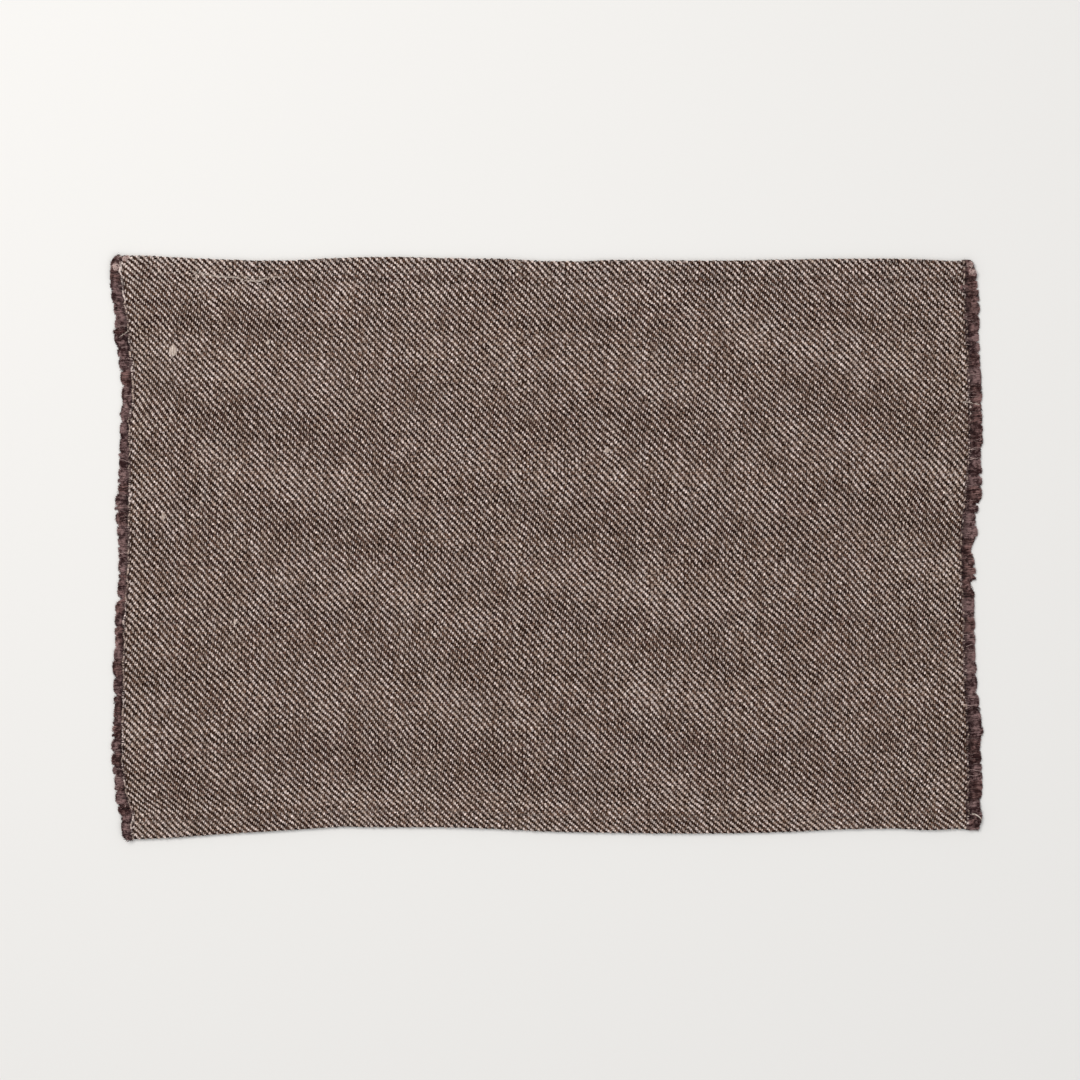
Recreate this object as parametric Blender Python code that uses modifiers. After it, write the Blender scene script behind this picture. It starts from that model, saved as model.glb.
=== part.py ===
"""Fabric placemat, about 45 x 30 cm, woven in a two-colour twill.

The woven panel is one sheet. Its two long edges are turned under once as hems, so the cloth
is two layers deep there. Each short end has a dense fringe of cut weft ends, which stands on
a narrow backing strip beside the woven edge and is turned under with the hems.

Metres, +Z up. The mat lies face up on its underside. Its length runs along X, its far hem is
at +Y, and the origin is on the underside, below the middle of the mat.
"""

import math
from collections import namedtuple

import bmesh
import bpy
import numpy as np

MM = 0.001

# Cloth
THICKNESS = 1.2  # one layer of the twill
LAYER_GAP = 0.35  # air between the layers of a hem
HALF_WIDTH = 150.5  # mean distance of a hem's fold from the middle of the mat
HEM = 9.4  # depth of the turned-under layer, from the fold to its raw edge
RAMP = 5.0  # width over which the cloth comes down from the hem to the table
HEM_RISE = THICKNESS + LAYER_GAP
FOLD_RADIUS = HEM_RISE / 2
COLUMNS = 24  # of the panel's grid, along the mat
FOLD_STEPS = 5

# Fringe
STRIP_GAP = 0.3  # between the woven edge and the backing strip
STRIP_WIDTH = 1.2
LOCK_PITCH = 2.3  # along the end, a lock and the parting beside it
LOCK_SHARE = 0.82  # of the pitch that the lock's root takes
LOCK_TAPER = 0.86  # width of a lock's tip, as a share of its root
LENGTH_SPREAD = 0.45  # how unevenly the locks are cut
LEAN_SPREAD = 0.15  # sideways lean of a lock's tip
CORNER_FAN = 1.3  # how far the locks beside a hem's fold lean out past it
FRINGE_SEED = 7

# The short ends. The woven edge stands left and right mm from the middle line, and the cut
# fringe reaches left_fringe and right_fringe mm past it. y is the place across the mat.
EndRow = namedtuple("EndRow", "y left left_fringe right right_fringe")
ENDS = (
    EndRow(-147.5, 217.6, 5.0, 220.5, 6.0),
    EndRow(-138.0, 216.8, 6.8, 220.2, 7.3),
    EndRow(-126.5, 220.5, 5.2, 221.1, 7.3),
    EndRow(-111.0, 222.2, 5.3, 220.8, 6.6),
    EndRow(-95.5, 222.3, 5.0, 220.5, 7.6),
    EndRow(-82.5, 222.0, 4.6, 219.9, 6.5),
    EndRow(-59.0, 221.5, 5.5, 218.9, 5.7),
    EndRow(-36.5, 221.2, 4.6, 218.6, 5.4),
    EndRow(-17.0, 219.4, 5.0, 217.3, 7.0),
    EndRow(-1.0, 219.1, 5.0, 216.8, 6.2),
    EndRow(22.0, 218.8, 6.6, 219.1, 6.8),
    EndRow(30.0, 218.6, 5.7, 219.9, 7.6),
    EndRow(49.0, 218.6, 5.0, 221.5, 6.0),
    EndRow(65.0, 218.9, 5.3, 221.8, 6.5),
    EndRow(77.5, 216.3, 5.8, 221.5, 6.5),
    EndRow(93.0, 217.3, 5.7, 221.0, 6.4),
    EndRow(118.0, 219.9, 5.6, 219.9, 6.6),
    EndRow(137.0, 222.5, 5.9, 218.9, 6.3),
    EndRow(149.5, 224.1, 4.6, 218.4, 5.0),
)

# The long edges. The folds of the far and near hems stand this far from the middle line.
SideRow = namedtuple("SideRow", "x far near")
SIDES = (
    SideRow(-224, 152.7, 152.2),
    SideRow(-207, 152.7, 152.0),
    SideRow(-186, 151.4, 150.6),
    SideRow(-157, 150.1, 148.5),
    SideRow(-134, 150.1, 147.5),
    SideRow(-111, 151.4, 145.5),
    SideRow(-87, 152.2, 145.9),
    SideRow(-50, 151.3, 145.9),
    SideRow(-22, 151.0, 147.0),
    SideRow(7, 149.3, 148.4),
    SideRow(38, 150.6, 148.8),
    SideRow(59, 150.1, 149.1),
    SideRow(91, 150.1, 149.1),
    SideRow(122, 150.5, 148.5),
    SideRow(151, 151.1, 147.0),
    SideRow(180, 151.1, 146.4),
    SideRow(201, 150.6, 147.5),
    SideRow(220, 149.6, 146.4),
)

# Places where the cut fringe stands out (+) or has a nick (-): middle, half width, reach.
Tuft = namedtuple("Tuft", "side y spread reach")
TUFTS = (
    Tuft("left", 112.0, 3.0, 1.1),
    Tuft("left", 71.5, 2.0, -0.9),
    Tuft("left", -8.0, 3.5, -0.7),
    Tuft("left", -29.0, 2.0, -0.6),
    Tuft("left", -59.5, 3.0, 0.7),
    Tuft("left", -141.0, 2.0, -1.2),
    Tuft("right", 24.0, 2.0, -0.9),
    Tuft("right", 14.0, 1.8, -1.8),
    Tuft("right", 5.5, 3.0, 1.2),
    Tuft("right", 0.5, 2.2, -1.7),
    Tuft("right", -20.0, 1.8, -1.9),
    Tuft("right", -96.0, 3.0, 0.9),
    Tuft("right", -134.0, 2.2, -1.0),
)

CLOTH_COLOUR = (0.162, 0.117, 0.098, 1.0)
FRINGE_COLOUR = (0.070, 0.042, 0.040, 1.0)

# Arc lengths along the section of one hem, counted from where the cloth leaves the table.
FIELD_HALF = HALF_WIDTH - HEM - RAMP
FOLD_START = RAMP + HEM - FOLD_RADIUS
FOLD_END = FOLD_START + math.pi * FOLD_RADIUS
RAW_EDGE = FOLD_END + HEM - FOLD_RADIUS


def column(rows, name):
    """One named column of a table, as an array."""
    return np.array([getattr(row, name) for row in rows])


def fringe_reach(side, y):
    """How far the cut fringe reaches past the woven edge."""
    reach = float(np.interp(y, column(ENDS, "y"), column(ENDS, side + "_fringe")))
    for tuft in TUFTS:
        if tuft.side == side:
            reach += tuft.reach * math.exp(-(((y - tuft.y) / tuft.spread) ** 2))
    return reach


def hem_fold(x, end):
    """y of a hem's fold. end is +1 for the far hem and -1 for the near one."""
    name = "far" if end > 0 else "near"
    return end * float(np.interp(x, column(SIDES, "x"), column(SIDES, name)))


def hem_section(run):
    """(distance in from the fold, height) of the mid-surface, run mm up the hem's section."""
    table = THICKNESS / 2
    if run <= RAMP:
        rise = 0.5 - 0.5 * math.cos(math.pi * run / RAMP)
        return HEM + RAMP - run, table + HEM_RISE * rise
    if run <= FOLD_START:
        return HEM + RAMP - run, table + HEM_RISE
    if run <= FOLD_END:
        turn = (run - FOLD_START) / FOLD_RADIUS
        inset = FOLD_RADIUS * (1 - math.sin(turn))
        return inset, table + FOLD_RADIUS * (1 + math.cos(turn))
    return FOLD_RADIUS + run - FOLD_END, table


def across(x, run):
    """(y, z) on the mid-surface. run is the way along the section from the middle line, and
    past FIELD_HALF it follows the hem round its fold and back underneath."""
    past = abs(run) - FIELD_HALF
    if past > 0:
        end = math.copysign(1, run)
        inset, height = hem_section(past)
        return hem_fold(x, end) - end * inset, height
    near = hem_fold(x, -1) + HEM + RAMP
    far = hem_fold(x, 1) - HEM - RAMP
    share = (run + FIELD_HALF) / (2 * FIELD_HALF)
    return near + (far - near) * share, THICKNESS / 2


def nominal_y(run):
    """The place across a mat with straight folds, where the tables of the ends are read."""
    past = abs(run) - FIELD_HALF
    if past <= 0:
        return run
    return math.copysign(HALF_WIDTH - hem_section(past)[0], run)


def panel_rows():
    """Runs along the whole section at which the panel's grid has a row."""
    hem = [RAMP * share for share in (0.2, 0.4, 0.6, 0.8, 1.0)]
    hem.append((RAMP + FOLD_START) / 2)
    fold = np.linspace(FOLD_START, FOLD_END, FOLD_STEPS + 1)
    hem += [*fold, (FOLD_END + RAW_EDGE) / 2, RAW_EDGE]
    field = [row.y for row in ENDS if abs(row.y) < FIELD_HALF]
    near = [-(FIELD_HALF + run) for run in reversed(hem)]
    far = [FIELD_HALF + run for run in hem]
    return [*near, -FIELD_HALF, *field, FIELD_HALF, *far]


def woven_edge(side, rows):
    """Distance of a short end's woven edge from the middle line, at each of the rows."""
    places = [nominal_y(run) for run in rows]
    return np.interp(places, column(ENDS, "y"), column(ENDS, side))


def strip_rows():
    """Rows of a fringe's strip, as (run, whether a lock grows between this row and the next).

    Locks stand along the flat layers at an even pitch. Round each fold there is one."""
    turn = (FIELD_HALF + FOLD_START, FIELD_HALF + FOLD_END)
    whole = FIELD_HALF + RAW_EDGE
    rows = []
    for start, end in ((-whole, -turn[1]), (-turn[0], turn[0]), (turn[1], whole)):
        count = round((end - start) / LOCK_PITCH)
        pitch = (end - start) / count
        for lock in range(count):
            rows.append((start + lock * pitch, True))
            rows.append((start + (lock + LOCK_SHARE) * pitch, False))
        if end < whole:
            fold = np.linspace(end, end + turn[1] - turn[0], FOLD_STEPS + 1)[:-1]
            rows += [(run, step == FOLD_STEPS // 2) for step, run in enumerate(fold)]
    return rows


def material(name, colour):
    made = bpy.data.materials.new(name)
    made.use_nodes = True
    shader = made.node_tree.nodes["Principled BSDF"]
    shader.inputs["Base Color"].default_value = colour
    shader.inputs["Roughness"].default_value = 0.9
    shader.inputs["Metallic"].default_value = 0.0
    return made


def sheet_object(name, bm, look, collection, parent):
    """An object of the sheet in bm, given its thickness evenly on both sides."""
    mesh = bpy.data.meshes.new(name)
    bm.to_mesh(mesh)
    bm.free()
    made = bpy.data.objects.new(name, mesh)
    made.data.materials.append(look)
    thick = made.modifiers.new("Thickness", "SOLIDIFY")
    thick.thickness = THICKNESS * MM
    thick.offset = 0
    thick.use_even_offset = True
    collection.objects.link(made)
    made.parent = parent
    return made


def make_cloth(look, collection, parent):
    """The woven panel with its hems: a grid laid along the section from raw edge to raw edge."""
    rows = panel_rows()
    left, right = -woven_edge("left", rows), woven_edge("right", rows)
    bm = bmesh.new()
    bmesh.ops.create_grid(bm, x_segments=COLUMNS, y_segments=len(rows) - 1, size=1)
    for vert in bm.verts:
        row = round((vert.co.y + 1) / 2 * (len(rows) - 1))
        share = (vert.co.x + 1) / 2
        x = left[row] + (right[row] - left[row]) * share
        vert.co = [value * MM for value in (x, *across(x, rows[row]))]
    return sheet_object("cloth", bm, look, collection, parent)


def draw_out_lock(tip, side, random):
    """Moves a new lock's tip out to where the fringe is cut, a little uneven and leaning."""
    middle = (tip.verts[0].co + tip.verts[1].co) / 2
    y = middle.y / MM
    reach = fringe_reach(side, y) - STRIP_GAP - STRIP_WIDTH
    reach += random.uniform(-1, 1) * LENGTH_SPREAD
    beside_fold = max(0.0, 1 - (HALF_WIDTH - abs(y)) / HEM)
    lean = random.uniform(-1, 1) * LEAN_SPREAD
    lean += math.copysign(CORNER_FAN * beside_fold**2, y)
    for vert in tip.verts:
        vert.co = middle + (vert.co - middle) * LOCK_TAPER
        vert.co.x += (reach if side == "right" else -reach) * MM
        vert.co.y += lean * MM


def make_fringe(side, look, collection, parent):
    """A backing strip beside the woven edge, with its outer edge drawn out into locks."""
    random = np.random.default_rng(FRINGE_SEED + (side == "right"))
    rows = strip_rows()
    panel = panel_rows()
    edge = woven_edge(side, panel)
    bm = bmesh.new()
    bmesh.ops.create_grid(bm, x_segments=1, y_segments=len(rows) - 1, size=1)
    outer = {}
    for vert in bm.verts:
        row = round((vert.co.y + 1) / 2 * (len(rows) - 1))
        run = rows[row][0]
        x = np.interp(run, panel, edge) + STRIP_GAP
        if vert.co.x > 0:
            outer[row] = vert
            x += STRIP_WIDTH
        x = x if side == "right" else -x
        vert.co = [value * MM for value in (x, *across(x, run))]
    roots = [
        bm.edges.get((outer[row], outer[row + 1]))
        for row, (_, grows) in enumerate(rows)
        if grows and row + 1 in outer
    ]
    drawn = bmesh.ops.extrude_edge_only(bm, edges=roots)["geom"]
    for tip in [item for item in drawn if isinstance(item, bmesh.types.BMEdge)]:
        draw_out_lock(tip, side, random)
    bmesh.ops.recalc_face_normals(bm, faces=bm.faces)
    return sheet_object("fringe_" + side, bm, look, collection, parent)


def box_middle(objects):
    """Middle of the box round the finished objects, in x and y."""
    graph = bpy.context.evaluated_depsgraph_get()
    points = []
    for item in objects:
        shaped = item.evaluated_get(graph)
        points += [shaped.matrix_world @ vert.co for vert in shaped.data.vertices]
    xs = [point.x for point in points]
    ys = [point.y for point in points]
    return (min(xs) + max(xs)) / 2, (min(ys) + max(ys)) / 2


def main():
    for old in list(bpy.data.objects):
        bpy.data.objects.remove(old)
    placemat = bpy.data.collections.new("placemat")
    bpy.context.scene.collection.children.link(placemat)
    base = bpy.data.objects.new("placemat_base", None)
    placemat.objects.link(base)
    twill = material("twill_cloth", CLOTH_COLOUR)
    ends = material("weft_ends", FRINGE_COLOUR)
    pieces = [
        make_cloth(twill, placemat, base),
        make_fringe("left", ends, placemat, base),
        make_fringe("right", ends, placemat, base),
    ]
    bpy.context.view_layer.update()
    middle_x, middle_y = box_middle(pieces)
    base.location = (-middle_x, -middle_y, 0)


main()
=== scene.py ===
"""Looks of the fabric placemat: every yarn of its twill, the cut fringe, stitches and fuzz.

The cloth is woven yarn by yarn. A beige warp end or a brown weft pick is a ribbon that runs
over two threads and under two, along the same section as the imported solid: flat on the table,
up on to each hem, round its fold and back underneath. The fringe is the weft's own cut ends.

Lengths here are in millimetres in the row frame, and MM turns them into metres.
"""

import math
from collections import namedtuple

import bpy
import numpy as np
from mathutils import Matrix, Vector
from mathutils.bvhtree import BVHTree


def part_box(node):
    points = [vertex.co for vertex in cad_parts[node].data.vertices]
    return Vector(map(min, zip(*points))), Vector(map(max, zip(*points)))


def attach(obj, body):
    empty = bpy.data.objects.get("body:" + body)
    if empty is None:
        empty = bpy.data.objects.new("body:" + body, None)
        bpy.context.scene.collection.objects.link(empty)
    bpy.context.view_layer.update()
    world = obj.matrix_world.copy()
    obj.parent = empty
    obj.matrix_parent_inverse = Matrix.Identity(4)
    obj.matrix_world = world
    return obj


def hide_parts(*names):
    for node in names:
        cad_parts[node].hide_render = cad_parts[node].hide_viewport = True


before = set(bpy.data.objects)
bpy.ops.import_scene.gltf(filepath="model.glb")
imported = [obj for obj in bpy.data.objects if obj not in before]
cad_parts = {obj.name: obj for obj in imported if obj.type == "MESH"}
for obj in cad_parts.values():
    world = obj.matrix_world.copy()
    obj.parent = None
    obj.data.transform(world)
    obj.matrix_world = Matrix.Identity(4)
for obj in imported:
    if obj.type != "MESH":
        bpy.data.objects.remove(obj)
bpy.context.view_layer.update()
MM = 0.001


def table(kind, *rows):
    """Rows whose columns have the names that kind gives them."""
    return [kind(*row) for row in rows]


# Cloth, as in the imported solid
THICKNESS = 1.2  # one layer of the twill
LAYER_GAP = 0.35  # air between the layers of a hem
HALF_WIDTH = 150.5  # mean distance of a hem's fold from the middle of the mat
HEM = 9.4  # depth of the turned-under layer, from the fold to its raw edge
RAMP = 5.0  # width over which the cloth comes down from the hem to the table
HEM_RISE = THICKNESS + LAYER_GAP
FOLD_RADIUS = HEM_RISE / 2
FIELD_HALF = HALF_WIDTH - HEM - RAMP
FOLD_START = RAMP + HEM - FOLD_RADIUS
FOLD_END = FOLD_START + math.pi * FOLD_RADIUS
RAW_EDGE = FOLD_END + HEM - FOLD_RADIUS
WHOLE = FIELD_HALF + RAW_EDGE  # from the middle line along the section to a raw edge
FAR_AWAY = 400.0  # a place well outside the mat, where a measuring ray starts
EDGE_REACH = 12.0  # a ray that goes further in than this has passed under the cloth
EDGE_STRAY = 1.0  # and so has one that ends this far from its neighbours' median
END_RAYS, SIDE_RAYS = 240, 200  # measuring rays along each end and along each side
END_MARGIN, SIDE_MARGIN = 1.5, 8  # and how far from the corners they begin
EDGE_GIVE = 42.0  # how far in the bays of a woven edge still bend the warp ends
SEAM = 8.4  # from a fold to the stitches that hold its hem

# Weave. The pitch of the warp ends along the mat, and of the picks across it.
Pitch = namedtuple("Pitch", "place pitch")
WARP_PITCH = table(
    Pitch, (-200, 0.890), (-160, 0.894), (-139, 0.881), (-118, 0.842), (-97, 0.872), (-60, 0.916),
    (-27, 0.939), (-14, 0.959), (7, 0.904), (41, 0.922), (75, 0.918), (109, 0.915), (143, 0.916),
    (155, 0.896), (180, 0.906),
)
WEFT_PITCH = table(
    Pitch, (-145, 0.840), (-138, 0.845), (-122, 0.919), (-108, 0.899), (-89, 0.976), (-75, 0.948),
    (-49, 0.960), (-19, 0.952), (10, 0.945), (40, 0.955), (70, 0.915), (99, 0.918), (114, 0.944),
    (130, 0.900), (150, 0.889),
)
CREST = 0.50  # height of a float's ridge over the middle of the cloth
EDGE_DROP = 0.22  # how far a ribbon's edges lie below its ridge
WARP_FULLNESS = 0.98  # width of a warp ribbon, as a share of the pitch
WEFT_FULLNESS = 1.0
STOUT = 0.05  # random share by which one yarn is stouter than another
WARP_PAIR = (0.03, 0.045)  # the ends lie in twos, each drawn this share of the pitch to its
WEFT_PAIR = (0.015, 0.025)  # mate, and the share by which that differs from place to place
MOST_PAIR = 0.16
END_UNEVEN = 0.13  # random share of the pitch by which gaps between ends differ
PICK_UNEVEN = 0.14
LEFT_GAPS, RIGHT_GAPS = (0.9, 1.25, 1.1), (1.1, 1.7, 0.85)  # room of the outermost ends
EDGE_LIFT = (0.85, 0.60)  # share by which the outermost ends, held by little, lie on top
EDGE_DIM = (0.42, 0.50)  # and how much darker they are
EDGE_WILD = 2.2  # how much more they wander and change colour than the others
FLOAT_UNEVEN = 0.22  # random share by which one float is wider or higher than the next
YARN_SWAY = (0.08, 0.13, 7)  # size of the ripples along a yarn, size of the change from one float
YARN_WIDTH = (0.10, FLOAT_UNEVEN, 9)  # to the next, and the ripples' wavelength
YARN_HEIGHT = (0.10, FLOAT_UNEVEN, 6)
YARN_TINT = (0.15, 0.20, 5)
NARROWEST, WIDEST = 0.34, 0.74  # limits of half a ribbon's width, as shares of the pitch
LOOSER = 0.12  # share by which patches of the cloth are more or less open
LONG = (60.0, 0.09)  # wavelength of the slow swelling along a yarn, and its share of the width
STREAK = (50.0, 0.30)  # wavelength and size of slow changes of colour along a warp end
HEM_LIGHTER = (118.0, 132.0, 0.22)  # the far hem has lost some colour: from, to, how much
Swell = namedtuple("Swell", "count shortest longest strain")  # waves, and their lengths in mm
SLOW_BENDS, QUICK_BENDS = Swell(8, 45, 150, 0.008), Swell(8, 7, 24, 0.015)
OPENNESS, PAIRING = Swell(10, 9, 60, 0.08), Swell(9, 12, 50, 0.08)
ROUND_FOLD = 0.8  # how far before and after a fold the warp's stations lie closer
WEAVE_SEED = 11


def ease(t):
    """0 to 1, smoothly, as t goes from 0 to 1."""
    return 0.5 - 0.5 * np.cos(math.pi * np.clip(t, 0, 1))


def section(x, run):
    """(y, z) of the middle of the cloth at x, run mm along the section from the middle line."""
    past = np.maximum(np.abs(run) - FIELD_HALF, 0)
    turn = np.clip((past - FOLD_START) / FOLD_RADIUS, 0, math.pi)
    inset = HEM + RAMP - np.minimum(past, FOLD_START) - FOLD_RADIUS * np.sin(turn)
    inset += np.maximum(past - FOLD_END, 0)
    near = OUTLINE.near(x) + HEM + RAMP
    far = OUTLINE.far(x) - HEM - RAMP
    share = (np.clip(run, -FIELD_HALF, FIELD_HALF) + FIELD_HALF) / (2 * FIELD_HALF)
    y = near + (far - near) * share + np.sign(run) * (HEM + RAMP - inset)
    z = THICKNESS / 2 + HEM_RISE * ease(past / RAMP) - FOLD_RADIUS * (1 - np.cos(turn))
    return y, z


def hits(node, starts, way):
    """Where rays from starts first meet a CAD node, in mm, leaving out those that miss."""
    tree = BVHTree.FromObject(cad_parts[node], bpy.context.evaluated_depsgraph_get())
    found = [tree.ray_cast(Vector(start) * MM, Vector(way))[0] for start in starts]
    return np.array([place for place in found if place is not None]) / MM


class Outline:
    """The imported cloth's woven edges and folds, measured on it with rays."""

    def __init__(self):
        low, high = (np.array(corner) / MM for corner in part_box("cloth"))
        across = np.linspace(low[1] + END_MARGIN, high[1] - END_MARGIN, END_RAYS)
        along = np.linspace(low[0] + SIDE_MARGIN, high[0] - SIDE_MARGIN, SIDE_RAYS)
        table = THICKNESS / 2
        fold = table + FOLD_RADIUS
        self.ends = {}
        for side, way, edge in (("left", 1, low[0]), ("right", -1, high[0])):
            met = hits("cloth", [(-way * FAR_AWAY, y, table) for y in across], (way, 0, 0))
            met = met[np.abs(met[:, 0] - edge) < EDGE_REACH]
            usual = [np.median(met[max(place - 4, 0):place + 5, 0]) for place in range(len(met))]
            self.ends[side] = met[np.abs(met[:, 0] - usual) < EDGE_STRAY]
        self.middle = {side: float(met[:, 0].mean()) for side, met in self.ends.items()}
        self.sides = {
            "near": hits("cloth", [(x, -FAR_AWAY, fold) for x in along], (0, 1, 0)),
            "far": hits("cloth", [(x, FAR_AWAY, fold) for x in along], (0, -1, 0)),
        }

    def bay(self, side, y):
        """How far along x a woven edge lies from its own mean."""
        return np.interp(y, self.ends[side][:, 1], self.ends[side][:, 0]) - self.middle[side]

    def near(self, x):
        """y of the near fold's mid-surface."""
        return np.interp(x, self.sides["near"][:, 0], self.sides["near"][:, 1] + THICKNESS / 2)

    def far(self, x):
        """y of the far fold's mid-surface."""
        return np.interp(x, self.sides["far"][:, 0], self.sides["far"][:, 1] - THICKNESS / 2)


OUTLINE = Outline()
LENGTH = OUTLINE.middle["right"] - OUTLINE.middle["left"]


def place(share, run, lift):
    """Points of the cloth: share of the way from the left woven edge to the right one, run
    along the section, and lift out of the middle of the cloth on its face side."""
    share, run = np.broadcast_arrays(share, run)
    y, z = section((share - 0.5) * LENGTH, run)
    ahead = section((share - 0.5) * LENGTH, run + 0.05)
    step = np.stack([ahead[0] - y, ahead[1] - z])
    step /= np.linalg.norm(step, axis=0)
    x = OUTLINE.middle["left"] + share * LENGTH
    x += OUTLINE.bay("left", y) * np.exp(-share * LENGTH / EDGE_GIVE)
    x += OUTLINE.bay("right", y) * np.exp((share - 1) * LENGTH / EDGE_GIVE)
    return np.stack([x, y - step[1] * lift, z + step[0] * lift], axis=-1)


def top(x, y):
    """Height of the middle of the cloth's upper layer."""
    inset = np.minimum(y - OUTLINE.near(x), OUTLINE.far(x) - y)
    return THICKNESS / 2 + HEM_RISE * ease((HEM + RAMP - inset) / RAMP)


def nominal_y(run):
    """The place across a mat with straight folds."""
    past = np.maximum(np.abs(run) - FIELD_HALF, 0)
    inset = HEM + RAMP - np.minimum(past, FOLD_START) + np.maximum(past - FOLD_END, 0)
    return np.where(past > 0, np.sign(run) * (HALF_WIDTH - inset), run)


def threads_between(start, end, rows, where, uneven, random):
    """Middles of the threads that fill start to end at the pitches in rows."""
    steps = np.linspace(start, end, 4000)
    pitch = np.interp(where(steps), [row.place for row in rows], [row.pitch for row in rows])
    counted = np.concatenate([[0], np.cumsum(np.diff(steps) / (pitch[1:] + pitch[:-1]) * 2)])
    count = round(counted[-1])
    own = random.standard_normal(count)
    own -= np.convolve(own, np.full(21, 1 / 21), "same")
    gaps = np.clip(1 + uneven * own, 0.6, 1.5)
    return gaps, lambda gaps: np.interp(
        (np.cumsum(gaps) - gaps / 2) / gaps.sum() * counted[-1], counted, steps
    )


def warp_ends(random):
    """Share of the mat's length at which each warp end lies."""
    half = LENGTH / 2
    gaps, settle = threads_between(
        -half, half, WARP_PITCH, lambda x: x, END_UNEVEN, random
    )
    gaps[:len(LEFT_GAPS)] *= LEFT_GAPS
    gaps[-len(RIGHT_GAPS):] *= RIGHT_GAPS
    return (settle(gaps) + half) / LENGTH


def weft_picks(random):
    """Place of each pick along the section, from one raw edge to the other."""
    gaps, settle = threads_between(
        -WHOLE, WHOLE, WEFT_PITCH, nominal_y, PICK_UNEVEN, random
    )
    return settle(gaps)


Waves = namedtuple("Waves", "ways phases sizes")


def waves(count, shortest, longest, strain, random):
    """Sum of plane waves that shifts threads smoothly. strain is the stretch each one makes."""
    length = np.geomspace(shortest, longest, count)
    angle = random.uniform(0, math.pi, count)
    ways = 2 * math.pi / length * np.stack([np.cos(angle), np.sin(angle)])
    return Waves(ways, random.uniform(0, 2 * math.pi, count), strain * length / (2 * math.pi))


def shift(field, x, run):
    """Value of a sum of waves at each place."""
    total = np.zeros(np.broadcast(x, run).shape)
    for way, phase, size in zip(field.ways.T, field.phases, field.sizes):
        total += size * np.sin(way[0] * x + way[1] * run + phase)
    return total


def unit(field, x, run):
    """A sum of waves scaled to a spread of about 1."""
    return shift(field, x, run) / np.sqrt((field.sizes**2).sum() / 2)


def ripple(places, wavelength, random):
    """Noise along each yarn, from about -1 to 1. The first axis of places is the yarn."""
    total = np.zeros(places.shape)
    for octave in (1.0, 0.62, 0.37):
        length = wavelength * octave * random.uniform(0.8, 1.25, (len(places), 1))
        start = random.uniform(0, 2 * math.pi, (len(places), 1))
        total += np.sin(places * 2 * math.pi / length + start)
    return total / 2


Thread = namedtuple("Thread", "sway half tall tint")


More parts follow.
